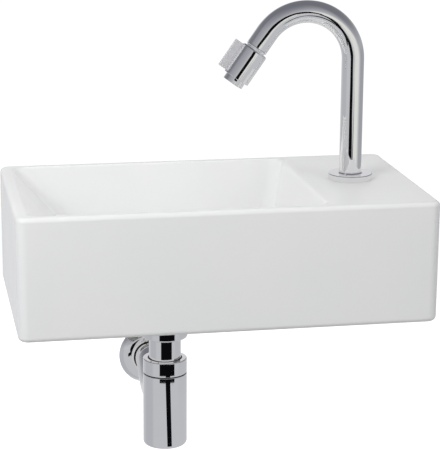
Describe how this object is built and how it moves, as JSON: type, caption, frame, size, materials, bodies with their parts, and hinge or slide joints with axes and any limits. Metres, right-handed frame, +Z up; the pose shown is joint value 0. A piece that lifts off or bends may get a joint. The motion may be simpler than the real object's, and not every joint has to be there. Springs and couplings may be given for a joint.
{
  "type": "hand basin",
  "caption": "Small wall-hung ceramic hand basin with a side tap on a tall arched spout opened by a lever at its mouth, a grid waste and a chromed bottle trap.",
  "frame": {"origin": "on the wall plane, midway between the two wall-fixing holes", "axes": "+X to the right for someone standing at the basin, +Y into the wall, +Z up"},
  "size_m": [0.4, 0.27, 0.4455],
  "materials": {
    "glaze": "smooth white glaze over fired sanitary ceramic",
    "chrome": "polished chrome plating",
    "satin_metal": "satin, lighter than the chrome round it",
    "brass": "bare turned brass",
    "steel": "plain stamped and drawn steel",
    "black_rubber": "matt black moulded rubber",
    "white_plastic": "plain moulded plastic",
    "grey_plastic": "plain moulded plastic",
    "valve_ceramic": "lapped hard ceramic"
  },
  "bodies": {
    "basin_body": {"basin": "glaze", "waste_upper_washer": "black_rubber", "waste_grid": "chrome", "waste_screw": "chrome", "waste_lower_washer": "black_rubber", "waste_body": "brass", "trap_flat_washer": "black_rubber", "trap_inlet_tube": "chrome", "trap_coupling_nut": "chrome", "trap_top_nut": "chrome", "trap_cone_seal": "black_rubber", "trap_slip_washer": "white_plastic", "trap_seam_ring": "black_rubber", "trap_body": "chrome", "trap_outlet_tube": "chrome", "wall_rosette": "chrome", "rosette_ring": "black_rubber", "tap_flange": "chrome", "tap_flange_seal": "black_rubber", "tap_shank": "brass", "tap_deck_washer": "black_rubber", "tap_steel_washer": "steel", "tap_backnut": "brass", "spout_tube": "chrome", "valve_core": "chrome", "core_o_ring": "black_rubber", "snap_ring": "steel", "disc_seal": "black_rubber", "valve_fixed_disc": "valve_ceramic"},
    "handle": {"turning_sleeve": "chrome", "lever_blade": "satin_metal", "valve_carrier": "white_plastic", "valve_turning_disc": "valve_ceramic", "aerator_washer": "black_rubber", "aerator_housing": "chrome", "aerator_insert": "grey_plastic"}
  },
  "joints": [
    {"name": "handle_turn", "type": "hinge", "parent": "basin_body", "child": "handle", "pos_m": [0.05309, -0.1125, 0.22174], "axis": [0.5736, 0, 0.8192], "range_deg": [0, 90]}
  ]
}
